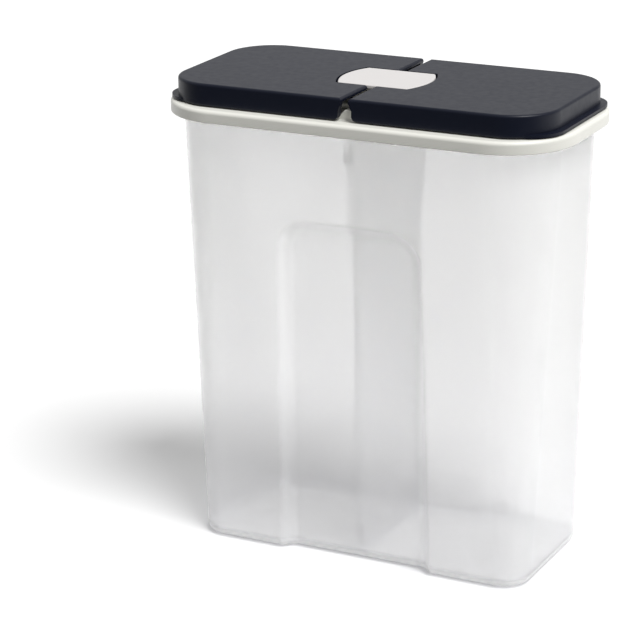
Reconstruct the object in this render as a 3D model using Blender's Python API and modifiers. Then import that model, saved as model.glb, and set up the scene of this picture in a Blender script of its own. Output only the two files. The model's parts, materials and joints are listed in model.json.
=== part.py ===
"""Two-compartment cereal dispenser.

A tapered, frosted container with a hand grip sunk into its front and back holds a
loose partition. A lid frame drops over the container's mouth. Two flap lids turn on
pins that lie in the frame's centre post, and a cap clips over the pins.

Metres, +Z up. X runs along the length, -Y is the front, and the origin is the centre
of the base.
"""
import math

import bmesh
import bpy
from mathutils import Matrix, Vector

# Overall outline of the lid frame, which every upper outline is inset from
FRAME_LENGTH = 0.241
FRAME_WIDTH = 0.120
FRAME_RADIUS = 0.040

# Heights
BODY_TOP = 0.2565
FRAME_BOTTOM = 0.2520
FRAME_SKIN = 0.0024
LEDGE_TOP = 0.2592
LID_BOTTOM = 0.2600
LID_TOP = 0.2723
PLUG_BOTTOM = 0.2525
COLLAR_TOP = 0.2655

# Container
BASE_LENGTH = 0.203
BASE_WIDTH = 0.093
BASE_RADIUS = 0.016
BASE_FILLET = 0.005
BODY_INSET = 0.0076
WALL = 0.0016
FLOOR = 0.0022
BEAD_INSET = 0.0045
BEAD_HEIGHT = 0.0016

# Hand grips
GRIP_TOP = 0.200
GRIP_HALF_TOP = 0.0435
GRIP_HALF_BASE = 0.0465
GRIP_RADIUS = 0.018
GRIP_DEPTH = 0.0056
GRIP_RUN = 0.0085

# Partition, and the lugs and ribs that hold it upright
PARTITION_THICK = 0.0020
PARTITION_GAP = 0.0006
PARTITION_TOP = 0.2518
GUIDE_THICK = 0.0010
GUIDE_GAP = 0.0004
LUG_REACH = 0.0022
LUG_HEIGHT = 0.0090
LUG_FOOT = 0.0120
LUG_HEAD = 0.2340

# Lid frame
BAND_THICK = 0.0022
COLLAR_INSET = 0.0114
COLLAR_THICK = 0.0018
DECK_HALF = 0.031
POST_HALF_X = 0.013
POST_HALF_Y = 0.017
POST_TOP = 0.270
TAB_TOP = 0.2647
TAB_HALF = 0.004
STRADDLE_BOTTOM = 0.2495

# Lids
LID_INSET = 0.0068
LID_RADIUS = 0.027
LID_SKIN = 0.0022
LID_WALL = 0.0020
LID_EDGE = 0.0015
LID_GAP_HALF = 0.00225
SKIRT_GAP_HALF = 0.0040
SKIRT_CORNER = 0.0030
SKIRT_STRAIGHT = 0.2655
RETURN_LENGTH = 0.040
RETURN_INNER = 0.0493
SEAL_GAP = 0.0007
SEAL_THICK = 0.0016
SEAL_BOTTOM = 0.2620
LIP_REACH = 0.0036
LIP_WIDTH = 0.098
LIP_RADIUS = 0.020
LIP_THICK = 0.0016
LIP_START = 0.095

# Hinges
PIN_X = 0.0088
PIN_Z = 0.2690
PIN_RADIUS = 0.00125
PIN_LENGTH = 0.054
PIN_EDGE = 0.0003
BORE_RADIUS = 0.0016
BORE_PAST = 0.001
KNUCKLE_RADIUS = 0.0026
KNUCKLE_FROM = 0.0212
KNUCKLE_TO = 0.0270
SWEEP_RADIUS = 0.0079
SWEEP_PAST = 0.002
SEAT_MOUTH = 0.98

# Centre cap
CAP_HALF_LENGTH = 0.026
CAP_HALF_WIDTH = 0.0193
CAP_BULGE = 0.0055
CAP_THICK = 0.0020
CAP_EDGE = 0.0006
CAP_NOTCH_GAP = 0.0009
CAP_LEG = (0.0060, 0.0030)
CAP_LEG_Y = 0.010
CAP_LEG_BOTTOM = 0.2620
SOCKET_BOTTOM = 0.2610
FIT = 0.0003

CORNER_STEPS = 10
FILLET_STEPS = 5
ROUND_SIDES = 32
MERGE = 0.00001
OVERRUN = 0.010

# Turns a profile drawn in Y and Z, and extruded along Z, to stand in the YZ plane
UPRIGHT = Matrix(((0, 0, 1, 0), (1, 0, 0, 0), (0, 1, 0, 0), (0, 0, 0, 1)))
SIDES = (("left", -1), ("right", 1))
FACES = (("front", -1), ("back", 1))


def clear_scene():
    for item in list(bpy.data.objects):
        bpy.data.objects.remove(item, do_unlink=True)


def new_collection(name):
    group = bpy.data.collections.new(name)
    bpy.context.scene.collection.children.link(group)
    return group


def material(name, colour, roughness, alpha=1.0):
    made = bpy.data.materials.new(name)
    made.use_nodes = True
    shader = made.node_tree.nodes["Principled BSDF"]
    shader.inputs["Base Color"].default_value = (*colour, 1.0)
    shader.inputs["Roughness"].default_value = roughness
    shader.inputs["Metallic"].default_value = 0.0
    shader.inputs["Alpha"].default_value = alpha
    made.diffuse_color = (*colour, alpha)
    return made


def finish_part(item, finish):
    """Give a part its material and smooth shading between its hard edges."""
    item.data.materials.clear()
    item.data.materials.append(finish)
    item.data.shade_smooth()
    item.data.set_sharp_from_angle(angle=math.radians(35))


def as_cutter(item):
    item.hide_render = True
    item.display_type = "WIRE"
    return item


# Outlines

def arc(centre_x, centre_y, radius, start, sweep, steps):
    """Points along an arc, both ends included, angles in degrees."""
    points = []
    for step in range(steps + 1):
        angle = math.radians(start + sweep * step / steps)
        points.append((centre_x + radius * math.cos(angle), centre_y + radius * math.sin(angle)))
    return points


def rounded_rectangle(length, width, radius):
    across = length / 2 - radius
    along = width / 2 - radius
    points = []
    for turn, (sign_x, sign_y) in enumerate(((1, 1), (-1, 1), (-1, -1), (1, -1))):
        points += arc(sign_x * across, sign_y * along, radius, 90 * turn, 90, CORNER_STEPS)
    return points


def frame_outline(inset):
    """The lid frame's outline, moved inward."""
    return rounded_rectangle(FRAME_LENGTH - 2 * inset, FRAME_WIDTH - 2 * inset, FRAME_RADIUS - inset)


def half_outline(inset, radius, cut, side):
    """One end of the frame's outline moved inward, beyond x = cut, with its own corners."""
    half_width = FRAME_WIDTH / 2 - inset
    across = FRAME_LENGTH / 2 - inset - radius
    points = [(cut, -half_width)]
    points += arc(across, -half_width + radius, radius, -90, 90, CORNER_STEPS)
    points += arc(across, half_width - radius, radius, 0, 90, CORNER_STEPS)
    points.append((cut, half_width))
    if side < 0:
        points = [(-x, y) for x, y in reversed(points)]
    return points


def barrel_outline(grow):
    """The cap's outline: straight front and back, and ends that bulge."""
    half_length = CAP_HALF_LENGTH + grow
    half_width = CAP_HALF_WIDTH + grow
    radius = (half_width ** 2 + CAP_BULGE ** 2) / (2 * CAP_BULGE)
    spread = math.degrees(math.asin(half_width / radius))
    points = arc(half_length - radius, 0, radius, -spread, 2 * spread, CORNER_STEPS)
    points += arc(radius - half_length, 0, radius, 180 - spread, 2 * spread, CORNER_STEPS)
    return points


# Solids

def solid_from_points(name, group, vertices, faces):
    mesh = bpy.data.meshes.new(name)
    mesh.from_pydata(vertices, [], faces)
    mesh.validate()
    item = bpy.data.objects.new(name, mesh)
    group.objects.link(item)
    return item


def loft(name, group, sections):
    """Close a stack of outlines with the same number of points, lowest first."""
    count = len(sections[0])
    vertices = [point for section in sections for point in section]
    faces = [tuple(reversed(range(count)))]
    for level in range(len(sections) - 1):
        low = level * count
        high = low + count
        for index in range(count):
            after = (index + 1) % count
            faces.append((low + index, low + after, high + after, high + index))
    last = (len(sections) - 1) * count
    faces.append(tuple(range(last, last + count)))
    return solid_from_points(name, group, vertices, faces)


def flat_solid(name, group, outline, low, high, frame=Matrix.Identity(4)):
    """Extrude a flat outline between two heights of its own frame."""
    curve = bpy.data.curves.new(name, "CURVE")
    curve.dimensions = "2D"
    curve.fill_mode = "BOTH"
    curve.extrude = (high - low) / 2
    spline = curve.splines.new("POLY")
    spline.points.add(len(outline) - 1)
    for point, (x, y) in zip(spline.points, outline):
        point.co = (x, y, 0, 1)
    spline.use_cyclic_u = True
    sketch = bpy.data.objects.new(name + "_sketch", curve)
    group.objects.link(sketch)
    bpy.context.view_layer.update()
    evaluated = sketch.evaluated_get(bpy.context.evaluated_depsgraph_get())
    mesh = bpy.data.meshes.new_from_object(evaluated)
    bpy.data.objects.remove(sketch, do_unlink=True)
    weld(mesh)
    mesh.transform(frame @ Matrix.Translation((0, 0, (low + high) / 2)))
    mesh.name = name
    item = bpy.data.objects.new(name, mesh)
    group.objects.link(item)
    return item


def weld(mesh):
    """Join the loose caps of a mesh made from a curve, and turn its faces outward."""
    work = bmesh.new()
    work.from_mesh(mesh)
    bmesh.ops.remove_doubles(work, verts=work.verts, dist=MERGE)
    bmesh.ops.recalc_face_normals(work, faces=work.faces)
    work.to_mesh(mesh)
    work.free()


def box(name, group, low, high):
    low, high = Vector(low), Vector(high)
    bpy.ops.mesh.primitive_cube_add(size=1)
    item = bpy.context.object
    item.name = name
    item.data.transform(Matrix.Translation((low + high) / 2) @ Matrix.Diagonal((*(high - low), 1)))
    move_to(item, group)
    return item


def rod(name, group, radius, x, z, y_from, y_to):
    """A cylinder lying along Y."""
    bpy.ops.mesh.primitive_cylinder_add(vertices=ROUND_SIDES, radius=radius, depth=y_to - y_from)
    item = bpy.context.object
    item.name = name
    turn = Matrix.Rotation(math.radians(90), 4, "X")
    item.data.transform(Matrix.Translation((x, (y_from + y_to) / 2, z)) @ turn)
    move_to(item, group)
    return item


def move_to(item, group):
    for holder in list(item.users_collection):
        holder.objects.unlink(item)
    group.objects.link(item)


def combine(target, operation, tools):
    for tool in tools:
        step = target.modifiers.new(operation.lower() + "_" + tool.name, "BOOLEAN")
        step.operation = operation
        step.solver = "EXACT"
        step.object = as_cutter(tool)


# Container

def body_section(height, shrink):
    """The container's outline at a height, moved inward by shrink."""
    rise = height / BODY_TOP
    top_length = FRAME_LENGTH - 2 * BODY_INSET
    top_width = FRAME_WIDTH - 2 * BODY_INSET
    top_radius = FRAME_RADIUS - BODY_INSET
    length = BASE_LENGTH + (top_length - BASE_LENGTH) * rise - 2 * shrink
    width = BASE_WIDTH + (top_width - BASE_WIDTH) * rise - 2 * shrink
    radius = BASE_RADIUS + (top_radius - BASE_RADIUS) * rise - shrink
    return [(x, y, height) for x, y in rounded_rectangle(length, width, radius)]


def body_loft(name, group, shrink, floor, top):
    """The tapered body with a rounded bottom edge."""
    fillet = BASE_FILLET - shrink / 2
    sections = []
    for step in range(FILLET_STEPS + 1):
        angle = math.radians(90 * step / FILLET_STEPS)
        height = floor + fillet * (1 - math.cos(angle))
        inset = shrink + fillet * (1 - math.sin(angle))
        sections.append(body_section(height, inset))
    sections.append(body_section(top, shrink))
    return loft(name, group, sections)


def wall_slope():
    """How far the front wall leans outward for each metre of height."""
    top_width = FRAME_WIDTH - 2 * BODY_INSET
    return (top_width - BASE_WIDTH) / 2 / BODY_TOP


def grip_outline(inset):
    """The grip's outline in the wall's plane, open below the base."""
    radius = GRIP_RADIUS - inset
    top = GRIP_TOP - inset
    lean = (GRIP_HALF_BASE - GRIP_HALF_TOP) / GRIP_TOP
    half_low = GRIP_HALF_BASE + lean * OVERRUN - inset
    half_high = GRIP_HALF_TOP + lean * radius - inset
    points = [(-half_low, -OVERRUN), (half_low, -OVERRUN)]
    points += arc(half_high - radius, top - radius, radius, 0, 90, CORNER_STEPS)
    points += arc(radius - half_high, top - radius, radius, 90, 90, CORNER_STEPS)
    return points


def grip_cutter(name, group, side, skin):
    """The grip's hollow, with the wall's thickness added round it when skin is not 0."""
    slant = GRIP_RUN / GRIP_DEPTH
    spread = skin * math.hypot(1, slant)
    sections = []
    for depth in (-2 * GRIP_DEPTH / 3, GRIP_DEPTH + skin):
        section = []
        for x, z in grip_outline(slant * depth - spread):
            y = BASE_WIDTH / 2 + wall_slope() * z - depth
            section.append((x * side, y * side, z))
        sections.append(section)
    return loft(name, group, sections)


def partition_edge(clear):
    """The cavity's profile at the middle, moved inward by clear, up to the partition's top."""
    def wall_at(z):
        return BASE_WIDTH / 2 + wall_slope() * z - WALL - clear

    slant = GRIP_RUN / GRIP_DEPTH
    foot = FLOOR + clear
    bend = GRIP_TOP + (WALL + clear) * (math.hypot(1, slant) - slant)
    corner = BASE_FILLET
    low = wall_at(foot) - GRIP_DEPTH
    points = arc(low - corner, foot + corner, corner, -90, 90, FILLET_STEPS)
    points.append((wall_at(bend - GRIP_RUN) - GRIP_DEPTH, bend - GRIP_RUN))
    points.append((wall_at(bend), bend))
    points.append((wall_at(PARTITION_TOP), PARTITION_TOP))
    return points


def beside_partition(side):
    """The span in X of the ribs and lugs on one side of the partition."""
    inside = PARTITION_THICK / 2 + GUIDE_GAP
    return sorted((side * inside, side * (inside + GUIDE_THICK)))


def guide_lugs(group):
    """Pairs of short lugs inside the front and back walls, at the partition's foot and head."""
    lean = wall_slope()
    lugs = []
    for foot, sink in ((LUG_FOOT, GRIP_DEPTH), (LUG_HEAD, 0)):
        wall_low = BASE_WIDTH / 2 + lean * foot - sink - WALL
        wall_high = wall_low + lean * LUG_HEIGHT
        root = WALL / 2
        profile = [(wall_low - LUG_REACH, foot + LUG_REACH), (wall_low + root, foot)]
        head = foot + LUG_HEIGHT
        profile += [(wall_high + root, head), (wall_high - LUG_REACH, head - LUG_REACH)]
        for side_name, side in SIDES:
            low, high = beside_partition(side)
            for face_name, face in FACES:
                outline = [(face * y, z) for y, z in profile]
                name = f"lug_{side_name}_{face_name}"
                lugs.append(flat_solid(name, group, outline, low, high, UPRIGHT))
    return lugs


def make_container(parts, cutters, finish):
    container = body_loft("container", parts, 0, 0, BODY_TOP)
    core = body_loft("core", cutters, WALL, FLOOR, BODY_TOP + OVERRUN)
    bead = flat_solid("bead", cutters, frame_outline(BEAD_INSET), BODY_TOP - BEAD_HEIGHT, BODY_TOP)
    hollows = [grip_cutter("grip_" + name, cutters, side, 0) for name, side in FACES]
    skins = [grip_cutter("grip_skin_" + name, cutters, side, WALL) for name, side in FACES]
    combine(core, "DIFFERENCE", skins)
    combine(container, "DIFFERENCE", hollows)
    combine(container, "UNION", [bead])
    combine(container, "DIFFERENCE", [core])
    combine(container, "UNION", guide_lugs(cutters))
    finish_part(container, finish)


def make_divider(parts, finish):
    """A flat partition whose edge follows the walls and the grips."""
    right = partition_edge(PARTITION_GAP)
    profile = right + [(-y, z) for y, z in reversed(right)]
    half = PARTITION_THICK / 2
    divider = flat_solid("divider", parts, profile, -half, half, UPRIGHT)
    finish_part(divider, finish)


# Lid frame

def frame_shell(parts):
    """The frame's outer band and ledge, with a rounded shoulder."""
    sections = [(FRAME_BOTTOM, 0)]
    for step in range(FILLET_STEPS + 1):
        angle = math.radians(90 * step / FILLET_STEPS)
        height = LEDGE_TOP - BAND_THICK * (1 - math.sin(angle))
        sections.append((height, BAND_THICK * (1 - math.cos(angle))))
    rings = [[(x, y, height) for x, y in frame_outline(inset)] for height, inset in sections]
    return loft("lid_frame", parts, rings)


def frame_openings(group):
    """The two pour openings, and the spaces above and below the deck between them."""
    inner = COLLAR_INSET + COLLAR_THICK
    edge = DECK_HALF + COLLAR_THICK
    reach = FRAME_WIDTH / 2 - inner
    low = PLUG_BOTTOM - OVERRUN
    high = COLLAR_TOP + OVERRUN
    tools = []
    for name, side in SIDES:
        outline = half_outline(inner, FRAME_RADIUS - inner, edge, side)
        tools.append(flat_solid("opening_" + name, group, outline, low, high))
    tools.append(box("over_deck", group, (-DECK_HALF, -reach, LEDGE_TOP), (DECK_HALF, reach, high)))
    under = LEDGE_TOP - FRAME_SKIN
    tools.append(box("under_deck", group, (-DECK_HALF, -reach, low), (DECK_HALF, reach, under)))
    return tools


def hinge_post(group):
    low = (-POST_HALF_X, -POST_HALF_Y, LEDGE_TOP - FRAME_SKIN / 2)
    return box("post", group, low, (POST_HALF_X, POST_HALF_Y, POST_TOP))


def straddle_ribs(group):
    """Two ribs under the deck that take the partition's top edge between them."""
    reach = FRAME_WIDTH / 2 - COLLAR_INSET - COLLAR_THICK / 2
    top = LEDGE_TOP - FRAME_SKIN / 2
    ribs = []
    for name, side in SIDES:
        low, high = beside_partition(side)
        ribs.append(box("straddle_" + name, group, (low, -reach, STRADDLE_BOTTOM), (high, reach, top)))
    return ribs


def saddle_cuts(group):
    """An open-topped seat in the post for each hinge pin."""
    cuts = []
    reach = POST_HALF_Y + OVERRUN
    half = BORE_RADIUS * SEAT_MOUTH
    for name, side in SIDES:
        x = side * PIN_X
        cuts.append(rod("saddle_" + name, group, BORE_RADIUS, x, PIN_Z, -reach, reach))
        low = (x - half, -reach, PIN_Z)
        cuts.append(box("saddle_mouth_" + name, group, low, (x + half, reach, POST_TOP + OVERRUN)))
    return cuts


def cap_legs(group, name, grow, bottom, top):
    """The cap's two legs, or their sockets in the post when they are grown."""
    legs = []
    half_x = CAP_LEG[0] / 2 + grow
    half_y = CAP_LEG[1] / 2 + grow
    for face_name, face in FACES:
        y = face * CAP_LEG_Y
        low = (-half_x, y - half_y, bottom)
        legs.append(box(f"{name}_{face_name}", group, low, (half_x, y + half_y, top)))
    return legs


def sweep_cuts(group):
    """Room in the collar's front and back walls for the lids' inner ends to swing down."""
    wall = FRAME_WIDTH / 2 - COLLAR_INSET
    outer = wall + SWEEP_PAST
    inner = wall - COLLAR_THICK - SWEEP_PAST
    cuts = []
    for side_name, side in SIDES:
        for face_name, face in FACES:
            low, high = sorted((face * inner, face * outer))
            name = f"sweep_{side_name}_{face_name}"
            cuts.append(rod(name, group, SWEEP_RADIUS, side * PIN_X, PIN_Z, low, high))
    reach = FRAME_WIDTH / 2
    cuts.append(box("tab_trim", group, (-TAB_HALF, -reach, TAB_TOP), (TAB_HALF, reach, PIN_Z)))
    return cuts


def make_frame(parts, cutters, finish):
    frame = frame_shell(parts)
    under = LEDGE_TOP - FRAME_SKIN
    channel = flat_solid("channel", cutters, frame_outline(BAND_THICK), FRAME_BOTTOM - OVERRUN, under)
    collar = flat_solid("collar", cutters, frame_outline(COLLAR_INSET), PLUG_BOTTOM, COLLAR_TOP)
    sockets = cap_legs(cutters, "socket", FIT, SOCKET_BOTTOM, POST_TOP + OVERRUN)
    combine(frame, "DIFFERENCE", [channel])
    combine(frame, "UNION", [collar])
    combine(frame, "DIFFERENCE", frame_openings(cutters) + sweep_cuts(cutters))
    combine(frame, "UNION", [hinge_post(cutters)] + straddle_ribs(cutters))
    combine(frame, "DIFFERENCE", saddle_cuts(cutters) + sockets)
    finish_part(frame, finish)


# Centre cap and pins

def make_cap(parts, cutters, finish):
    low = LID_TOP - CAP_THICK
    levels = ((low, 0), (LID_TOP - CAP_EDGE, 0), (LID_TOP, CAP_EDGE))
    rings = [[(x, y, height) for x, y in barrel_outline(-inset)] for height, inset in levels]
    cap = loft("hinge_cap", parts, rings)
    combine(cap, "UNION", cap_legs(cutters, "leg", 0, CAP_LEG_BOTTOM, low + CAP_THICK / 2))
    finish_part(cap, finish)


def make_pin(parts, finish, name, side):
    pin = rod(name, parts, PIN_RADIUS, 0, 0, -PIN_LENGTH / 2, PIN_LENGTH / 2)
    pin.location = (side * PIN_X, 0, PIN_Z)
    edge = pin.modifiers.new("rounded_ends", "BEVEL")
    edge.width = PIN_EDGE
    edge.segments = 2
    edge.limit_method = "ANGLE"
    edge.angle_limit = math.radians(60)
    finish_part(pin, finish)


# Lids

def lid_levels():
    """Height, inset and inner end of the lid's outline, from the skirt up."""
    steps = 4
    turns = [math.radians(90 * step / steps) for step in range(steps + 1)]
    levels = []
    for turn in turns:
        height = LID_BOTTOM + SKIRT_CORNER * (1 - math.cos(turn))
        levels.append((height, 0, SKIRT_GAP_HALF + SKIRT_CORNER * (1 - math.sin(turn))))
    levels.append((SKIRT_STRAIGHT, 0, SKIRT_GAP_HALF))
    levels.append((LID_TOP - LID_SKIN, 0, LID_GAP_HALF))
    for turn in turns:
        height = LID_TOP - LID_EDGE * (1 - math.sin(turn))
        inset = LID_EDGE * (1 - math.cos(turn))
        levels.append((height, inset, LID_GAP_HALF + inset))
    return levels


def lid_blank(name, parts, side):
    rings = []
    for height, inset, end in lid_levels():
        outline = half_outline(LID_INSET + inset, LID_RADIUS - inset, end, side)
        rings.append([(x, y, height) for x, y in outline])
    return loft(name, parts, rings)


def finger_lip(group, name, side):
    """A thin crescent that stands out from the foot of the lid's outer end."""
    length = FRAME_LENGTH - 2 * LID_INSET + 2 * LIP_REACH
    outline = [point for point in rounded_rectangle(length, LIP_WIDTH, LIP_RADIUS) if point[0] > LIP_START]
    outline.sort(key=lambda point: side * point[1])
    outline = [(side * x, y) for x, y in outline]
    return flat_solid("lip_" + name, group, outline, LID_BOTTOM, LID_BOTTOM + LIP_THICK)


def lid_hollows(group, name, side):
    """The space inside the skirt, open at the inner end behind the short return walls."""
    top = LID_TOP - LID_SKIN
    bottom = LID_BOTTOM - OVERRUN
    outline = half_outline(LID_INSET + LID_WALL, LID_RADIUS - LID_WALL, SKIRT_GAP_HALF + LID_WALL, side)
    inside = flat_solid("hollow_" + name, group, outline, bottom, top)
    low_x, high_x = sorted((0, side * RETURN_LENGTH))
    low = (low_x, -RETURN_INNER, bottom)
    return [inside, box("mouth_" + name, group, low, (high_x, RETURN_INNER, top))]


def seal_rib(group, name, side):
    """The rib under the lid that drops inside the collar."""
    outer = COLLAR_INSET + COLLAR_THICK + SEAL_GAP
    edge = DECK_HALF + COLLAR_THICK + SEAL_GAP
    top = LID_TOP - LID_SKIN / 2
    outline = half_outline(outer, FRAME_RADIUS - outer, edge, side)
    rib = flat_solid("seal_" + name, group, outline, SEAL_BOTTOM, top)
    inner = outer + SEAL_THICK
    outline = half_outline(inner, FRAME_RADIUS - inner, edge + SEAL_THICK, side)
    hollow = flat_solid("seal_hollow_" + name, group, outline, SEAL_BOTTOM - OVERRUN, top + OVERRUN)
    combine(rib, "DIFFERENCE", [hollow])
    return rib


def knuckles(group, name, side):
    """Two bearings under the lid's inner end, one on each side of the post."""
    pair = []
    for face_name, face in FACES:
        low, high = sorted((face * KNUCKLE_FROM, face * KNUCKLE_TO))
        label = f"knuckle_{name}_{face_name}"
        pair.append(rod(label, group, KNUCKLE_RADIUS, side * PIN_X, PIN_Z, low, high))
    return pair


def make_lid(parts, cutters, finish, name, side):
    lid = lid_blank(name + "_lid", parts, side)
    reach = KNUCKLE_TO + BORE_PAST
    bore = rod("bore_" + name, cutters, BORE_RADIUS, side * PIN_X, PIN_Z, -reach, reach)
    outline = barrel_outline(CAP_NOTCH_GAP)
    notch = flat_solid("notch_" + name, cutters, outline, LID_BOTTOM - OVERRUN, LID_TOP + OVERRUN)
    combine(lid, "UNION", [finger_lip(cutters, name, side)])
    combine(lid, "DIFFERENCE", lid_hollows(cutters, name, side))
    combine(lid, "UNION", [seal_rib(cutters, name, side)] + knuckles(cutters, name, side))
    combine(lid, "DIFFERENCE", [bore, notch])
    finish_part(lid, finish)


def main():
    clear_scene()
    parts = new_collection("cereal_dispenser")
    cutters = new_collection("cutters")
    frosted = material("frosted_polypropylene", (0.86, 0.87, 0.89), 0.35, 0.45)
    ivory = material("ivory_polypropylene", (0.84, 0.82, 0.76), 0.40)
    light_grey = material("light_grey_polypropylene", (0.74, 0.73, 0.70), 0.45)
    dark = material("dark_blue_grey_polypropylene", (0.045, 0.055, 0.075), 0.45)
    pin_plastic = material("natural_acetal", (0.80, 0.80, 0.78), 0.35)
    make_container(parts, cutters, frosted)
    make_divider(parts, frosted)
    make_frame(parts, cutters, ivory)
    make_cap(parts, cutters, light_grey)
    for name, side in SIDES:
        make_pin(parts, pin_plastic, name + "_hinge_pin", side)
        make_lid(parts, cutters, dark, name, side)


main()
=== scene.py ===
"""Looks of the two-compartment cereal dispenser.

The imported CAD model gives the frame. Each moulding is rebuilt here as a fine mesh in
the same place, with rounded edges and a procedural material, and rides on its body.
"""

import json
import math

import bmesh
import bpy
from mathutils import Matrix, Vector

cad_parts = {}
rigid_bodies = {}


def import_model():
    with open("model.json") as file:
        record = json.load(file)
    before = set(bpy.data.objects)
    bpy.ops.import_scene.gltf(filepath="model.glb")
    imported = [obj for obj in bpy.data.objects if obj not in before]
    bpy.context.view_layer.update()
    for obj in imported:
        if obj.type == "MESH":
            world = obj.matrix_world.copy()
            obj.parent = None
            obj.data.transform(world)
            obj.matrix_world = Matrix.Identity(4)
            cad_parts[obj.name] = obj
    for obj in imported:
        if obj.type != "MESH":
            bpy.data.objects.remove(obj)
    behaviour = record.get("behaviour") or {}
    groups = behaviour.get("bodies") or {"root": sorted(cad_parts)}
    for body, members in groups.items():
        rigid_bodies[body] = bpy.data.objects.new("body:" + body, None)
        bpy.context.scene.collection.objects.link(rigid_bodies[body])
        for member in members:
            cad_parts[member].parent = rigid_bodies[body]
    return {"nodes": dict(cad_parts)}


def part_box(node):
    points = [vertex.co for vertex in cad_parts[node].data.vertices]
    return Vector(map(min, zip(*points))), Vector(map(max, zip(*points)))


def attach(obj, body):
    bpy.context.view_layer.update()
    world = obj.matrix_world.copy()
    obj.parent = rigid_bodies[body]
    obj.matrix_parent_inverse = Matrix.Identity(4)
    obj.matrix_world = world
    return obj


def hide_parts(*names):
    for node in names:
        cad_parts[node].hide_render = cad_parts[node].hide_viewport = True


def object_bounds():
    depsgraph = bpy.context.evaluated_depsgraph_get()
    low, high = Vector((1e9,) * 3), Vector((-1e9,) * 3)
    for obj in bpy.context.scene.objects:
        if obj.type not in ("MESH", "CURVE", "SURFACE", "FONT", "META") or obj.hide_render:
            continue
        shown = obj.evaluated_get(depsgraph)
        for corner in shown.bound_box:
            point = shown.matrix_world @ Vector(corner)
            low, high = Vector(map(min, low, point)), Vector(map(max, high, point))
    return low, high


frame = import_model()
cad_low, cad_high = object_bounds()

# Sizes are in metres. What a CAD box gives is read from it, and the rest repeats the CAD's
# own dimensions.
FRAME_LOW, FRAME_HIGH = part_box("lid_frame")
BOX_LOW, BOX_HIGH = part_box("container")
LID_LOW, LID_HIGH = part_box("left_lid")
CAP_LOW, CAP_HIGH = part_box("hinge_cap")
DIVIDER_LOW, DIVIDER_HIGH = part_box("divider")

# Lid frame, with the two ribs that take the divider's top edge between them
FRAME_LENGTH = FRAME_HIGH.x - FRAME_LOW.x
FRAME_WIDTH = FRAME_HIGH.y - FRAME_LOW.y
FRAME_RADIUS = 0.040
FRAME_BOTTOM = 0.2520
LEDGE_TOP = 0.2592
FRAME_SKIN = 0.0024
BAND_THICK = 0.0022
BAND_EDGE = 0.0005
COLLAR_ROOT = 0.0009
PLUG_BOTTOM = 0.2525
COLLAR_TOP = 0.2655
COLLAR_INSET = 0.0114
COLLAR_THICK = 0.0018
DECK_HALF = 0.031
POST_HALF_X = 0.013
POST_HALF_Y = 0.017
POST_TOP = FRAME_HIGH.z
TAB_TOP = 0.2647
STRADDLE_BOTTOM = FRAME_LOW.z
OVERLAP = 0.001
DECK_OVERLAP = 0.0005
SWEEP_PAST = 0.002
SEAT_MOUTH = 0.98
TAB_HALF = 0.004

# Divider and the lugs that hold it
PANEL_EDGE = 0.0004
GUIDE_GAP = 0.0004
GUIDE_THICK = 0.0010
LUG_REACH = 0.0022
LUG_HEIGHT = 0.0090
LUG_FOOT = 0.0120
LUG_HEAD = 0.2340
LUG_EDGE = 0.0002

# Container
BODY_TOP = BOX_HIGH.z
BODY_INSET = 0.0076
BASE_LENGTH = 0.203
BASE_WIDTH = 0.093
BASE_RADIUS = 0.016
BASE_FILLET = 0.005
WALL = 0.0016
FLOOR = 0.0022
BEAD_REACH = BODY_INSET - (FRAME_HIGH.x - BOX_HIGH.x)
BEAD_HEIGHT = 0.0016
BEAD_EDGE = 0.0006
# The fillet under the bead, as (outward, down) from the bead's inner underside
BEAD_ROOT = ((0, 0.0012), (0.0002, 0.0004), (0.0006, 0.0001), (0.0012, 0))
MOUTH_EDGE = 0.0005
LEAST_RADIUS = 0.002

# Heights of the container's rings, closest together round the grip's top
RINGS_FROM = 0.012
RINGS_APART = 0.008
RINGS_COARSE = 21
FINE_FROM = 0.178
FINE_APART = 0.001
FINE_RINGS = 26
RINGS_ABOVE = (0.206, 0.212, 0.222, 0.234, 0.246)
FILLET_CLEAR = 0.002

# Hand grips
GRIP_TOP = 0.200
GRIP_HALF_TOP = 0.0435
GRIP_HALF_BASE = 0.0465
GRIP_RADIUS = 0.018
GRIP_DEPTH = 0.0056
GRIP_RUN = 0.0085
GRIP_SHARP = 0.0007
GRIP_ZONE = 1.22
GRIP_STATIONS = 46
CORNER_STATIONS = 5
GRIP_SKIN_SHIFT = 0.3

# Lids
LID_BOTTOM = LID_LOW.z
LID_TOP = LID_HIGH.z
LID_INSET = 0.0068
LID_RADIUS = 0.027
LID_SKIN = 0.0022
LID_WALL = 0.0020
LID_EDGE = 0.0015
LID_GAP_HALF = 0.00225
SKIRT_GAP_HALF = 0.0040
SKIRT_CORNER = 0.0030
SKIRT_STRAIGHT = 0.2655
SKIRT_EDGE = 0.0004
RETURN_LENGTH = 0.040
RETURN_INNER = 0.0493
SEAL_GAP = 0.0007
SEAL_THICK = 0.0016
SEAL_BOTTOM = 0.2620
LIP_WIDTH = 0.098
LIP_RADIUS = 0.020
LIP_THICK = 0.0016
LIP_START = 0.095

# Hinges
PIN_X = 0.0088
PIN_Z = 0.2690
PIN_RADIUS = 0.00125
PIN_EDGE = 0.0003
BORE_RADIUS = 0.0016
BORE_PAST = 0.001
KNUCKLE_RADIUS = 0.0026
KNUCKLE_FROM = 0.0212
KNUCKLE_TO = 0.0270
SWEEP_RADIUS = 0.0079

# Centre cap
CAP_HALF_LENGTH = CAP_HIGH.x
CAP_HALF_WIDTH = CAP_HIGH.y
CAP_BULGE = 0.0055
CAP_THICK = 0.0020
CAP_EDGE = 0.0007
CAP_FOOT_EDGE = 0.0003
CAP_NOTCH_GAP = 0.0009
CAP_LEG = (0.0060, 0.0030)
CAP_LEG_Y = 0.010
FIT = 0.0003
SOCKET_BOTTOM = 0.2610

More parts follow.
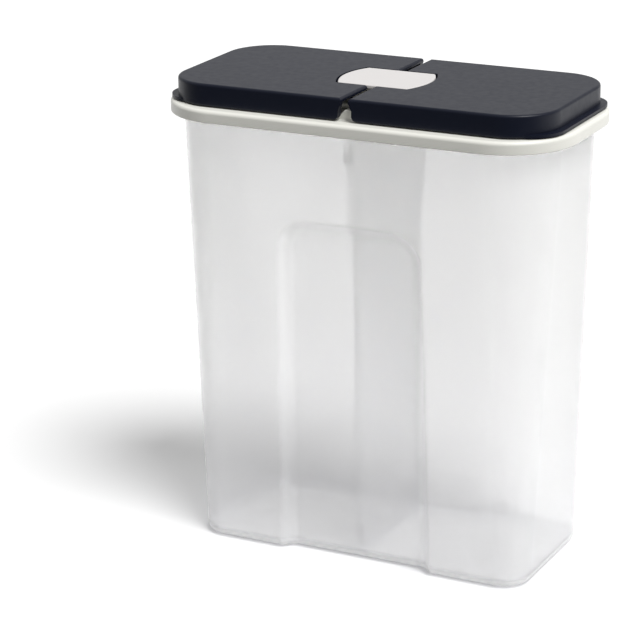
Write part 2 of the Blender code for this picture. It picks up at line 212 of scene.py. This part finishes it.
# How finely things are rounded, and how far cutters and additions reach past a face
CORNER_STEPS = 20
ROUND_SIDES = 48
SUPPORT = 0.0006
SOFT_EDGE = 0.0003
OVERRUN = 0.010

# Studio: the room's light and the floor's bounce are set apart from what the camera sees
FLOOR_SIZE = 12
FLOOR_FRONT = -0.5
FLOOR_BACK = 0.15
FLOOR_DIM = 0.07
FLOOR_BRIGHT = 0.85
FLOOR_SEEN = 0.83
KEY_FROM = Vector((0.47, -0.24, 0.85))
KEY_STRENGTH = 3.0
KEY_SOFTNESS = 27
ROOM_BRIGHT_SIDE = Vector((-0.25, 0.84, 0.48))
ROOM_SPREAD = 0.9
ROOM_DIM = 0.25
ROOM_BRIGHT = 0.66
ROOM_SEEN = 1.05

# Camera, aimed from the middle of the CAD box; angles in degrees, the lens in millimetres
CAMERA_DISTANCE = 1.4546
CAMERA_AZIMUTH = 27.24
CAMERA_ELEVATION = 18.485
CAMERA_ROLL = -0.86
CAMERA_LENS = 145.3
CAMERA_SENSOR = 36
CAMERA_AIM = Vector((-0.0355, -0.0197, -0.0019))

SIDES = (("left", -1), ("right", 1))
FACES = (("front", -1), ("back", 1))

hidden = bpy.data.collections.new("cutters")
bpy.context.scene.collection.children.link(hidden)


# Outlines

def arc(centre_x, centre_y, radius, start, sweep, steps):
    """Points along an arc, both ends included, angles in degrees."""
    points = []
    for step in range(steps + 1):
        angle = math.radians(start + sweep * step / steps)
        points.append((centre_x + radius * math.cos(angle), centre_y + radius * math.sin(angle)))
    return points


def rounded_rectangle(length, width, radius):
    across = length / 2 - radius
    along = width / 2 - radius
    points = []
    for turn, (sign_x, sign_y) in enumerate(((1, 1), (-1, 1), (-1, -1), (1, -1))):
        points += arc(sign_x * across, sign_y * along, radius, 90 * turn, 90, CORNER_STEPS)
    return points


def frame_outline(inset):
    """The lid frame's outline, moved inward."""
    return rounded_rectangle(FRAME_LENGTH - 2 * inset, FRAME_WIDTH - 2 * inset, FRAME_RADIUS - inset)


def half_outline(inset, radius, cut, side):
    """One end of the frame's outline moved inward, beyond x = cut, with its own corners."""
    half_width = FRAME_WIDTH / 2 - inset
    across = FRAME_LENGTH / 2 - inset - radius
    points = [(cut, -half_width)]
    points += arc(across, -half_width + radius, radius, -90, 90, CORNER_STEPS)
    points += arc(across, half_width - radius, radius, 0, 90, CORNER_STEPS)
    points.append((cut, half_width))
    if side < 0:
        points = [(-x, y) for x, y in reversed(points)]
    return points


def barrel_outline(grow):
    """The cap's outline: straight front and back, and ends that bulge."""
    half_length = CAP_HALF_LENGTH + grow
    half_width = CAP_HALF_WIDTH + grow
    radius = (half_width ** 2 + CAP_BULGE ** 2) / (2 * CAP_BULGE)
    spread = math.degrees(math.asin(half_width / radius))
    points = arc(half_length - radius, 0, radius, -spread, 2 * spread, CORNER_STEPS)
    points += arc(radius - half_length, 0, radius, 180 - spread, 2 * spread, CORNER_STEPS)
    return points


# Solids

def new_object(name, data, group=bpy.context.scene.collection):
    item = bpy.data.objects.new(name, data)
    group.objects.link(item)
    return item


def grid_mesh(name, rings, capped):
    """Join rings of points. Capped ends close a stack; otherwise the last ring meets the first."""
    count = len(rings[0])
    vertices = [point for ring in rings for point in ring]
    faces = []
    last = len(rings) - 1
    for level in range(last if capped else last + 1):
        low = level * count
        high = ((level + 1) % len(rings)) * count
        for index in range(count):
            after = (index + 1) % count
            faces.append((low + index, low + after, high + after, high + index))
    if capped:
        faces.append(tuple(reversed(range(count))))
        faces.append(tuple(range(last * count, last * count + count)))
    mesh = bpy.data.meshes.new(name)
    mesh.from_pydata(vertices, [], faces)
    work = bmesh.new()
    work.from_mesh(mesh)
    bmesh.ops.recalc_face_normals(work, faces=work.faces)
    work.to_mesh(mesh)
    work.free()
    return mesh


def prism(name, outline, low, high):
    """A cutter or an addition with a flat outline, standing between two heights."""
    rings = [[(x, y, z) for x, y in outline] for z in (low, high)]
    return new_object(name, grid_mesh(name, rings, True), hidden)


def box(name, low, high):
    low, high = Vector(low), Vector(high)
    place = Matrix.Translation((low + high) / 2) @ Matrix.Diagonal((*(high - low), 1))
    work = bmesh.new()
    bmesh.ops.create_cube(work, size=1, matrix=place)
    return from_bmesh(name, work)


def rod(name, radius, x, z, y_from, y_to):
    """A cylinder lying along Y."""
    work = bmesh.new()
    place = Matrix.Translation((x, (y_from + y_to) / 2, z)) @ Matrix.Rotation(math.radians(90), 4, "X")
    bmesh.ops.create_cone(
        work, cap_ends=True, segments=ROUND_SIDES, radius1=radius, radius2=radius,
        depth=y_to - y_from, matrix=place,
    )
    return from_bmesh(name, work)


def from_bmesh(name, work):
    mesh = bpy.data.meshes.new(name)
    bmesh.ops.recalc_face_normals(work, faces=work.faces)
    work.to_mesh(mesh)
    work.free()
    return new_object(name, mesh, hidden)


def combine(target, operation, tools):
    for tool in tools:
        step = target.modifiers.new(tool.name, "BOOLEAN")
        step.operation = operation
        step.solver = "EXACT"
        step.object = tool


def settle(item):
    """Turn the object's modifiers into its mesh."""
    bpy.context.view_layer.update()
    mesh = bpy.data.meshes.new_from_object(item.evaluated_get(bpy.context.evaluated_depsgraph_get()))
    item.modifiers.clear()
    item.data = mesh


def soften(item, width):
    """Round the hard edges left by the cuts."""
    edge = item.modifiers.new("soft_edges", "BEVEL")
    edge.width = width
    edge.segments = 2
    edge.limit_method = "ANGLE"
    edge.angle_limit = math.radians(40)
    edge.use_clamp_overlap = True
    edge.miter_outer = "MITER_ARC"
    settle(item)


def smooth(item, angle=32):
    """Shade smooth between hard edges, with the large flat faces kept flat."""
    item.data.shade_smooth()
    item.data.set_sharp_from_angle(angle=math.radians(angle))
    level = item.modifiers.new("flat_faces", "WEIGHTED_NORMAL")
    level.keep_sharp = True
    settle(item)


def clear_cutters():
    for item in list(hidden.objects):
        bpy.data.objects.remove(item, do_unlink=True)
    bpy.data.collections.remove(hidden)


def present(item, finish, body, slot, *nodes):
    """Give a piece its material and its body, in place of the CAD nodes that it stands for."""
    item.data.materials.clear()
    item.data.materials.append(finish)
    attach(item, body)
    if nodes:
        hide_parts(*nodes)


def quarter(steps):
    """Sine and one minus cosine over a quarter turn."""
    turns = [math.radians(90 * step / steps) for step in range(steps + 1)]
    return [(math.sin(turn), 1 - math.cos(turn)) for turn in turns]


# Container

def grip_half(z):
    rise = min(max(z / GRIP_TOP, 0), 1)
    return GRIP_HALF_BASE + (GRIP_HALF_TOP - GRIP_HALF_BASE) * rise


def grip_sink(x, z, skin):
    """How far the grip sinks the front or back wall at a point of it."""
    half = grip_half(z)
    across = abs(x) - (half - GRIP_RADIUS)
    above = z - (GRIP_TOP - GRIP_RADIUS)
    if across > 0 and above > 0:
        inside = GRIP_RADIUS - math.hypot(across, above)
    else:
        inside = min(half - abs(x), GRIP_TOP - z)
    inside += skin * GRIP_SKIN_SHIFT
    inside = (inside + math.hypot(inside, GRIP_SHARP)) / 2 - GRIP_SHARP / 4
    part = min(max(inside / GRIP_RUN, 0), 1)
    return GRIP_DEPTH * (1 - (1 - part) ** 2)


def wall_stations(half_straight):
    """Places along half of a front or back wall, closest where the grip's side slopes."""
    zone = GRIP_HALF_TOP * GRIP_ZONE
    stations = [zone * step / GRIP_STATIONS for step in range(GRIP_STATIONS + 1)]
    for step in range(1, CORNER_STATIONS):
        stations.append(zone + (half_straight - zone) * step / CORNER_STATIONS)
    return stations


def body_ring(z, offset, skin):
    """The container's section at a height, moved outward by offset, with the grips sunk in."""
    rise = z / BODY_TOP
    length = BASE_LENGTH + (FRAME_LENGTH - 2 * BODY_INSET - BASE_LENGTH) * rise + 2 * offset
    width = BASE_WIDTH + (FRAME_WIDTH - 2 * BODY_INSET - BASE_WIDTH) * rise + 2 * offset
    radius = BASE_RADIUS + (FRAME_RADIUS - BODY_INSET - BASE_RADIUS) * rise + offset
    radius = max(radius, LEAST_RADIUS)
    across = length / 2 - radius
    along = width / 2 - radius
    lean = grip_half(z) / GRIP_HALF_TOP
    half = []
    for x in wall_stations(across / lean):
        half.append((x * lean, width / 2 - grip_sink(x * lean, z, skin)))
    back = [(x, y) for x, y in reversed(half)]
    back += [(-x, y) for x, y in half[1:]]
    ring = arc(across, along, radius, 0, 90, CORNER_STEPS) + back
    ring += arc(-across, along, radius, 90, 90, CORNER_STEPS)
    ring += [(-x, -y) for x, y in ring]
    return [(x, y, z) for x, y in ring]


def wall_heights():
    heights = [BASE_FILLET + FILLET_CLEAR]
    heights += [RINGS_FROM + RINGS_APART * step for step in range(RINGS_COARSE)]
    heights += [FINE_FROM + FINE_APART * step for step in range(FINE_RINGS)]
    heights += RINGS_ABOVE
    return heights


def container_rings():
    """From the middle of the base, up the outside, over the bead and down the inside."""
    rings = []
    fillet = quarter(8)
    for up, out in fillet:
        rings.append(body_ring(BASE_FILLET * out, BASE_FILLET * (up - 1), 0))
    rings += [body_ring(z, 0, 0) for z in wall_heights()]
    under = BODY_TOP - BEAD_HEIGHT
    rings += [body_ring(under - down, outward, 0) for outward, down in BEAD_ROOT]
    tip = BEAD_REACH - BEAD_EDGE
    rings.append(body_ring(under, tip, 0))
    for up, out in quarter(4):
        rings.append(body_ring(under + BEAD_EDGE * out, tip + BEAD_EDGE * up, 0))
    for up, out in quarter(4):
        height = BODY_TOP - BEAD_EDGE + BEAD_EDGE * up
        rings.append(body_ring(height, BEAD_REACH - BEAD_EDGE * out, 0))
    for up, out in quarter(3):
        rings.append(body_ring(BODY_TOP - MOUTH_EDGE * out, -WALL + MOUTH_EDGE * (1 - up), WALL))
    rings += [body_ring(z, -WALL, WALL) for z in reversed(wall_heights())]
    inner = BASE_FILLET - WALL / 2
    for up, out in reversed(fillet):
        rings.append(body_ring(FLOOR + inner * out, -WALL + inner * (up - 1), WALL))
    return rings


def make_container(finish):
    item = new_object("container_shell", grid_mesh("container_shell", container_rings(), True))
    smooth(item, 60)
    present(item, finish, "box", "frosted_body", "container")


def beside_divider(side):
    """The span in X of the ribs and lugs on one side of the divider."""
    inside = (DIVIDER_HIGH.x - DIVIDER_LOW.x) / 2 + GUIDE_GAP
    return sorted((side * inside, side * (inside + GUIDE_THICK)))


def lug_block(side, face, foot, sink):
    """A small wedge that stands on the front or back wall's inside."""
    lean = (FRAME_WIDTH - 2 * BODY_INSET - BASE_WIDTH) / 2 / BODY_TOP
    head = foot + LUG_HEIGHT
    wall_low = BASE_WIDTH / 2 + lean * foot - sink - WALL
    wall_high = wall_low + lean * LUG_HEIGHT
    outline = [(wall_low - LUG_REACH, foot + LUG_REACH), (wall_low, foot)]
    outline += [(wall_high, head), (wall_high - LUG_REACH, head - LUG_REACH)]
    low, high = beside_divider(side)
    rings = [[(x, face * y, z) for y, z in outline] for x in (low, high)]
    return grid_mesh("guide_lug", rings, True)


def make_lugs(finish):
    """Pairs of lugs that hold the divider upright at its foot and its head."""
    work = bmesh.new()
    for foot, sink in ((LUG_FOOT, GRIP_DEPTH), (LUG_HEAD, 0)):
        for _, side in SIDES:
            for _, face in FACES:
                work.from_mesh(lug_block(side, face, foot, sink))
    bmesh.ops.recalc_face_normals(work, faces=work.faces)
    mesh = bpy.data.meshes.new("guide_lugs")
    work.to_mesh(mesh)
    work.free()
    item = new_object("guide_lugs", mesh)
    soften(item, LUG_EDGE)
    smooth(item)
    present(item, finish, "box", "frosted_body")


def make_divider(finish):
    """The partition: the CAD outline is kept, with its edges rounded."""
    mesh = frame["nodes"]["divider"].data.copy()
    mesh.transform(frame["nodes"]["divider"].matrix_world)
    item = new_object("divider_panel", mesh)
    soften(item, PANEL_EDGE)
    smooth(item)
    present(item, finish, "box", "frosted_body", "divider")


# Lid frame

def frame_profile():
    """The band, ledge and collar in section, as (inset, height), clockwise from the band's foot."""
    edge = BAND_EDGE
    root = COLLAR_ROOT
    inner = COLLAR_INSET + COLLAR_THICK
    under = LEDGE_TOP - FRAME_SKIN
    line = [(edge * (1 - up), FRAME_BOTTOM + edge * out) for up, out in quarter(3)]
    line += [(BAND_THICK * out, LEDGE_TOP - BAND_THICK * (1 - up)) for up, out in quarter(7)]
    line.append((BAND_THICK + SUPPORT, LEDGE_TOP))
    line += [(COLLAR_INSET - root * (1 - up), LEDGE_TOP + root * out) for up, out in quarter(4)]
    line += [(COLLAR_INSET + edge * out, COLLAR_TOP - edge * (1 - up)) for up, out in quarter(3)]
    line += [(inner - edge * (1 - up), COLLAR_TOP - edge * out) for up, out in quarter(3)]
    line += [(inner - edge * out, PLUG_BOTTOM + edge * (1 - up)) for up, out in quarter(3)]
    line += [(COLLAR_INSET + edge * (1 - up), PLUG_BOTTOM + edge * out) for up, out in quarter(3)]
    line.append((COLLAR_INSET, under))
    line += [(BAND_THICK + edge * (1 - up), under - edge * out) for up, out in quarter(3)]
    line += [(BAND_THICK - edge * out, FRAME_BOTTOM + edge * (1 - up)) for up, out in quarter(3)]
    return line


def make_frame(finish):
    rings = [[(x, y, z) for x, y in frame_outline(inset)] for inset, z in frame_profile()]
    item = new_object("lid_frame_shell", grid_mesh("lid_frame_shell", rings, False))
    combine(item, "UNION", deck_parts())
    sockets = cap_legs("socket", FIT, SOCKET_BOTTOM, POST_TOP + OVERRUN)
    combine(item, "DIFFERENCE", sweep_cuts() + saddle_cuts() + sockets)
    settle(item)
    soften(item, SOFT_EDGE)
    smooth(item)
    present(item, finish, "frame", "ivory_frame", "lid_frame")


def deck_parts():
    """The bridge between the two mouths: a deck, two cross walls, two ribs and the post."""
    reach = FRAME_WIDTH / 2 - COLLAR_INSET - COLLAR_THICK / 2
    under = LEDGE_TOP - FRAME_SKIN
    far = DECK_HALF + COLLAR_THICK
    middle = far - DECK_OVERLAP
    parts = [box("deck", (-middle, -reach, under), (middle, reach, LEDGE_TOP))]
    rib_top = under + OVERLAP
    for name, side in SIDES:
        low, high = sorted((side * DECK_HALF, side * far))
        parts.append(box("cross_wall_" + name, (low, -reach, PLUG_BOTTOM), (high, reach, COLLAR_TOP)))
        low, high = beside_divider(side)
        parts.append(box("straddle_" + name, (low, -reach, STRADDLE_BOTTOM), (high, reach, rib_top)))
    post_low = (-POST_HALF_X, -POST_HALF_Y, LEDGE_TOP - OVERLAP)
    parts.append(box("post", post_low, (POST_HALF_X, POST_HALF_Y, POST_TOP)))
    return parts


def sweep_cuts():
    """Room in the collar's front and back walls for the lids' inner ends to swing down."""
    wall = FRAME_WIDTH / 2 - COLLAR_INSET
    outer = wall + SWEEP_PAST
    inner = wall - COLLAR_THICK - SWEEP_PAST
    cuts = []
    for side_name, side in SIDES:
        for face_name, face in FACES:
            low, high = sorted((face * inner, face * outer))
            name = f"sweep_{side_name}_{face_name}"
            cuts.append(rod(name, SWEEP_RADIUS, side * PIN_X, PIN_Z, low, high))
    reach = FRAME_WIDTH / 2
    cuts.append(box("tab_trim", (-TAB_HALF, -reach, TAB_TOP), (TAB_HALF, reach, PIN_Z)))
    return cuts


def saddle_cuts():
    """An open-topped seat in the post for each hinge pin."""
    cuts = []
    reach = POST_HALF_Y + OVERRUN
    half = BORE_RADIUS * SEAT_MOUTH
    for name, side in SIDES:
        x = side * PIN_X
        cuts.append(rod("saddle_" + name, BORE_RADIUS, x, PIN_Z, -reach, reach))
        low = (x - half, -reach, PIN_Z)
        cuts.append(box("saddle_mouth_" + name, low, (x + half, reach, POST_TOP + OVERRUN)))
    return cuts


def cap_legs(name, grow, bottom, top):
    """The cap's two legs, or their sockets in the post when they are grown."""
    legs = []
    half_x = CAP_LEG[0] / 2 + grow
    half_y = CAP_LEG[1] / 2 + grow
    for face_name, face in FACES:
        y = face * CAP_LEG_Y
        low = (-half_x, y - half_y, bottom)
        legs.append(box(f"{name}_{face_name}", low, (half_x, y + half_y, top)))
    return legs


# Centre cap and pins

def make_cap(finish):
    low = CAP_HIGH.z - CAP_THICK
    rings = [[(x, y, low) for x, y in barrel_outline(-CAP_FOOT_EDGE)]]
    rings.append([(x, y, low + CAP_FOOT_EDGE) for x, y in barrel_outline(0)])
    for up, out in quarter(5):
        height = CAP_HIGH.z - CAP_EDGE * (1 - up)
        rings.append([(x, y, height) for x, y in barrel_outline(-CAP_EDGE * out)])
    rings.append([(x, y, CAP_HIGH.z) for x, y in barrel_outline(-CAP_EDGE - SUPPORT)])
    item = new_object("hinge_cap_shell", grid_mesh("hinge_cap_shell", rings, True))
    combine(item, "UNION", cap_legs("leg", 0, CAP_LOW.z, low + CAP_THICK / 2))
    settle(item)
    smooth(item)
    present(item, finish, "frame", "light_cap", "hinge_cap")


def make_pin(finish, node, side):
    """A rod lying along Y, with rounded ends."""
    low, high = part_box(node)
    edge = PIN_EDGE
    rings = []
    stations = [(low.y + edge * out, PIN_RADIUS - edge * (1 - up)) for up, out in quarter(3)]
    stations += [(high.y - edge * (1 - up), PIN_RADIUS - edge * out) for up, out in quarter(3)]
    for y, radius in stations:
        ring = arc(side * PIN_X, PIN_Z, radius, 0, 360 - 360 / ROUND_SIDES, ROUND_SIDES - 1)
        rings.append([(x, y, z) for x, z in ring])
    item = new_object(node + "_rod", grid_mesh(node, rings, True))
    smooth(item)
    present(item, finish, "frame", "pin_plastic", node)


# Lids

def lid_levels():
    """Height, inset and inner end of the lid's outline, from the skirt up."""
    levels = []
    for up, out in quarter(7):
        height = LID_BOTTOM + SKIRT_CORNER * out
        foot = SKIRT_EDGE * (1 - min(1, SKIRT_CORNER * out / SKIRT_EDGE))
        levels.append((height, foot, SKIRT_GAP_HALF + SKIRT_CORNER * (1 - up)))
    levels.append((SKIRT_STRAIGHT, 0, SKIRT_GAP_HALF))
    levels.append((LID_TOP - LID_SKIN, 0, LID_GAP_HALF))
    for up, out in quarter(6):
        levels.append((LID_TOP - LID_EDGE * (1 - up), LID_EDGE * out, LID_GAP_HALF + LID_EDGE * out))
    inset = LID_EDGE + SUPPORT
    levels.append((LID_TOP, inset, LID_GAP_HALF + inset))
    return levels


def make_lid(finish, node, side):
    rings = []
    for height, inset, end in lid_levels():
        outline = half_outline(LID_INSET + inset, LID_RADIUS - inset, end, side)
        rings.append([(x, y, height) for x, y in outline])
    item = new_object(node + "_shell", grid_mesh(node, rings, True))
    combine(item, "UNION", [finger_lip(side)])
    combine(item, "DIFFERENCE", lid_hollows(side))
    combine(item, "UNION", [seal_rib(side)] + knuckles(side))
    reach = KNUCKLE_TO + BORE_PAST
    bore = rod("bore", BORE_RADIUS, side * PIN_X, PIN_Z, -reach, reach)
    outline = barrel_outline(CAP_NOTCH_GAP)
    notch = prism("notch", outline, LID_BOTTOM - OVERRUN, LID_TOP + OVERRUN)
    combine(item, "DIFFERENCE", [bore, notch])
    settle(item)
    soften(item, SOFT_EDGE)
    smooth(item)
    body = node.replace("_lid", "_flap")
    present(item, finish, body, "dark_lid", node)


def finger_lip(side):
    """A thin crescent that stands out from the foot of the lid's outer end."""
    length = -2 * LID_LOW.x
    outline = rounded_rectangle(length, LIP_WIDTH, LIP_RADIUS)
    outline = [point for point in outline if point[0] > LIP_START]
    outline.sort(key=lambda point: point[1])
    outline = [(side * x, y) for x, y in outline]
    return prism("lip", outline, LID_BOTTOM, LID_BOTTOM + LIP_THICK)


def lid_hollows(side):
    """The space inside the skirt, open at the inner end behind the short return walls."""
    top = LID_TOP - LID_SKIN
    end = SKIRT_GAP_HALF + LID_WALL
    outline = half_outline(LID_INSET + LID_WALL, LID_RADIUS - LID_WALL, end, side)
    inside = prism("inside", outline, LID_BOTTOM - OVERRUN, top)
    low_x, high_x = sorted((0, side * RETURN_LENGTH))
    low = (low_x, -RETURN_INNER, LID_BOTTOM - OVERRUN)
    mouth = box("mouth", low, (high_x, RETURN_INNER, top))
    return [inside, mouth]


def seal_rib(side):
    """The rib under the lid that drops inside the collar."""
    outer = COLLAR_INSET + COLLAR_THICK + SEAL_GAP
    edge = DECK_HALF + COLLAR_THICK + SEAL_GAP
    top = LID_TOP - LID_SKIN / 2
    rib = prism("seal", half_outline(outer, FRAME_RADIUS - outer, edge, side), SEAL_BOTTOM, top)
    inner = outer + SEAL_THICK
    hollow = half_outline(inner, FRAME_RADIUS - inner, edge + SEAL_THICK, side)
    combine(rib, "DIFFERENCE", [prism("seal_hollow", hollow, SEAL_BOTTOM - OVERRUN, top + OVERRUN)])
    return rib


def knuckles(side):
    """Two bearings under the lid's inner end, one on each side of the post."""
    pair = []
    for name, face in FACES:
        low, high = sorted((face * KNUCKLE_FROM, face * KNUCKLE_TO))
        pair.append(rod("knuckle_" + name, KNUCKLE_RADIUS, side * PIN_X, PIN_Z, low, high))
    return pair


# Materials

def new_material(name, colour, roughness):
    made = bpy.data.materials.new(name)
    made.use_nodes = True
    shader = made.node_tree.nodes["Principled BSDF"]
    shader.inputs["Base Color"].default_value = (*colour, 1)
    shader.inputs["Roughness"].default_value = roughness
    return made, made.node_tree, shader


def add(tree, kind, **inputs):
    """A new node with some of its inputs set."""
    node = tree.nodes.new(kind)
    for key, value in inputs.items():
        node.inputs[key.replace("_", " ")].default_value = value
    return node


def object_place(tree):
    return tree.nodes.new("ShaderNodeTexCoord").outputs["Object"]


def object_axis(tree, axis):
    """The object's own X, Y or Z."""
    split = tree.nodes.new("ShaderNodeSeparateXYZ")
    tree.links.new(object_place(tree), split.inputs["Vector"])
    return split.outputs[axis]


def object_noise(tree, scale, detail):
    """Noise fixed to the object's own place."""
    noise = add(tree, "ShaderNodeTexNoise", Scale=scale, Detail=detail)
    tree.links.new(object_place(tree), noise.inputs["Vector"])
    return noise.outputs["Fac"]


def ramp(tree, source, start, end, low, high, shape="LINEAR"):
    """Go from low to high while the signal goes from start to end."""
    span = add(tree, "ShaderNodeMapRange")
    span.interpolation_type = shape
    span.inputs["From Min"].default_value = start
    span.inputs["From Max"].default_value = end
    span.inputs["To Min"].default_value = low
    span.inputs["To Max"].default_value = high
    tree.links.new(source, span.inputs["Value"])
    return span.outputs["Result"]


def drift(tree, scale, low, high):
    """A value that wanders between low and high over the surface."""
    return ramp(tree, object_noise(tree, scale, 3), 0.3, 0.7, low, high)


def blend(tree, source, at_zero, at_one):
    """Mix two colours by a signal from 0 to 1."""
    mix = tree.nodes.new("ShaderNodeMix")
    mix.data_type = "RGBA"
    mix.inputs["A"].default_value = (*at_zero, 1)
    mix.inputs["B"].default_value = (*at_one, 1)
    tree.links.new(source, mix.inputs["Factor"])
    return mix.outputs["Result"]


def add_grain(tree, shader, scale, depth, strength):
    """A fine moulded texture, depth in metres."""
    bump = add(tree, "ShaderNodeBump", Strength=strength, Distance=depth)
    tree.links.new(object_noise(tree, scale, 3), bump.inputs["Height"])
    tree.links.new(bump.outputs["Normal"], shader.inputs["Normal"])


def satin_plastic(name, dark, light, roughness, grain, specular=0.5):
    """Opaque plastic whose colour and roughness drift a little between two close tones."""
    middle = tuple((a + b) / 2 for a, b in zip(dark, light))
    made, tree, shader = new_material(name, middle, roughness)
    shader.inputs["Specular IOR Level"].default_value = specular
    tone = blend(tree, object_noise(tree, 35, 4), dark, light)
    tree.links.new(tone, shader.inputs["Base Color"])
    rough = drift(tree, 260, roughness - 0.025, roughness + 0.025)
    tree.links.new(rough, shader.inputs["Roughness"])
    add_grain(tree, shader, *grain)
    return made


def frosted_plastic(name, foot_painted_shade, warm, alpha_face, alpha_edge, foot_density):
    """Milky see-through plastic, with painted shade at the foot where its colour turns bluer and
    darker, and denser along the foot and edge on.
    """
    made, tree, shader = new_material(name, warm, 0.38)
    shader.inputs["Subsurface Weight"].default_value = 1.0
    shader.inputs["Subsurface Radius"].default_value = (1, 1, 1)
    shader.inputs["Subsurface Scale"].default_value = 0.0015
    height = object_axis(tree, "Z")
    # Painted shade: the base colour goes from the warm tone at the top to a bluer, darker tone at the
    # foot
    tone = blend(tree, ramp(tree, height, 0.03, 0.17, 0, 1), foot_painted_shade, warm)
    tree.links.new(tone, shader.inputs["Base Color"])
    facing = add(tree, "ShaderNodeLayerWeight", Blend=0.35)
    density = ramp(tree, facing.outputs["Facing"], 0, 1, alpha_face, alpha_edge)
    band = tree.nodes.new("ShaderNodeMath")
    band.operation = "MULTIPLY_ADD"
    rise = ramp(tree, height, 0.0005, 0.0025, 0, foot_density, "SMOOTHSTEP")
    fall = ramp(tree, height, 0.0035, 0.0065, 1, 0, "SMOOTHSTEP")
    for socket, source in zip(band.inputs, (rise, fall, density)):
        tree.links.new(source, socket)
    tree.links.new(band.outputs["Value"], shader.inputs["Alpha"])
    tree.links.new(drift(tree, 90, 0.34, 0.44), shader.inputs["Roughness"])
    add_grain(tree, shader, 1400, 0.00003, 0.25)
    return made


# Studio

def camera_sees(tree, otherwise, value):
    """A value for what the camera sees, straight on or through clear surfaces."""
    path = tree.nodes.new("ShaderNodeLightPath")
    mix = tree.nodes.new("ShaderNodeMix")
    mix.inputs["B"].default_value = value
    tree.links.new(path.outputs["Is Camera Ray"], mix.inputs["Factor"])
    tree.links.new(otherwise, mix.inputs["A"])
    return mix.outputs["Result"]


def make_floor():
    """A pale floor that returns less light in front of the object than behind it."""
    bpy.ops.mesh.primitive_plane_add(size=FLOOR_SIZE, location=(0, 0, 0))
    floor = bpy.context.object
    floor.name = "studio_floor"
    made, tree, shader = new_material("pale_floor", (0.9, 0.9, 0.9), 0.9)
    shader.inputs["Specular IOR Level"].default_value = 0.0
    depth = object_axis(tree, "Y")
    bounce = ramp(tree, depth, FLOOR_FRONT, FLOOR_BACK, FLOOR_DIM, FLOOR_BRIGHT)
    tree.links.new(camera_sees(tree, bounce, FLOOR_SEEN), shader.inputs["Base Color"])
    floor.data.materials.append(made)


def make_lights():
    sun = bpy.data.lights.new("key", "SUN")
    sun.energy = KEY_STRENGTH
    sun.angle = math.radians(KEY_SOFTNESS)
    item = new_object("key", sun)
    item.rotation_euler = KEY_FROM.to_track_quat("Z", "Y").to_euler()


def make_world():
    """A white room that is brighter above and behind than at the front."""
    world = bpy.data.worlds.new("studio")
    bpy.context.scene.world = world
    world.use_nodes = True
    tree = world.node_tree
    back = tree.nodes["Background"]
    back.inputs["Color"].default_value = (1, 1, 1, 1)
    place = tree.nodes.new("ShaderNodeTexCoord")
    along = tree.nodes.new("ShaderNodeVectorMath")
    along.operation = "DOT_PRODUCT"
    along.inputs[1].default_value = ROOM_BRIGHT_SIDE
    tree.links.new(place.outputs["Generated"], along.inputs[0])
    side = along.outputs["Value"]
    level = ramp(tree, side, -ROOM_SPREAD, ROOM_SPREAD, ROOM_DIM, ROOM_BRIGHT, "SMOOTHSTEP")
    tree.links.new(camera_sees(tree, level, ROOM_SEEN), back.inputs["Strength"])


def make_camera():
    azimuth = math.radians(CAMERA_AZIMUTH)
    elevation = math.radians(CAMERA_ELEVATION)
    level = math.cos(elevation)
    away = Vector((math.sin(azimuth) * level, -math.cos(azimuth) * level, math.sin(elevation)))
    camera = bpy.data.cameras.new("camera")
    camera.sensor_width = CAMERA_SENSOR
    camera.lens = CAMERA_LENS
    item = new_object("camera", camera)
    aim = (cad_low + cad_high) / 2 + CAMERA_AIM
    item.location = aim + away * CAMERA_DISTANCE
    roll = Matrix.Rotation(math.radians(CAMERA_ROLL), 4, "Z")
    item.rotation_euler = (away.to_track_quat("Z", "Y").to_matrix().to_4x4() @ roll).to_euler()
    bpy.context.scene.camera = item


# Grains are (scale, depth, strength)
FINE_GRAIN = (900, 0.00003, 0.2)

# The foot colours below are painted shade for the lower walls, not a tint of the plastic
frosted = frosted_plastic(
    "frosted_polypropylene", foot_painted_shade=(0.93, 0.93, 0.99), warm=(0.995, 0.985, 0.96),
    alpha_face=0.16, alpha_edge=0.38, foot_density=0.40,
)
panel = frosted_plastic(
    "frosted_partition", foot_painted_shade=(0.95, 0.95, 0.98), warm=(0.97, 0.96, 0.94),
    alpha_face=0.12, alpha_edge=0.36, foot_density=0.30,
)
ivory = satin_plastic(
    "ivory_polypropylene", (0.75, 0.745, 0.69), (0.79, 0.785, 0.73), 0.40, FINE_GRAIN,
)
light_grey = satin_plastic(
    "light_grey_polypropylene", (0.60, 0.58, 0.57), (0.63, 0.61, 0.60), 0.45, FINE_GRAIN,
)
dark = satin_plastic(
    "dark_blue_grey_polypropylene", (0.004, 0.006, 0.015), (0.005, 0.007, 0.017), 0.40,
    (1500, 0.00003, 0.25), specular=0.25,
)
natural = satin_plastic(
    "natural_acetal", (0.76, 0.76, 0.73), (0.81, 0.81, 0.78), 0.35, (900, 0.00002, 0.15),
)

make_container(frosted)
make_divider(panel)
make_lugs(frosted)
make_frame(ivory)
make_cap(light_grey)
for side_name, side in SIDES:
    make_pin(natural, side_name + "_hinge_pin", side)
for side_name, side in SIDES:
    make_lid(dark, side_name + "_lid", side)
clear_cutters()
make_floor()
make_lights()
make_world()
make_camera()
bpy.context.scene.view_settings.view_transform = "Standard"
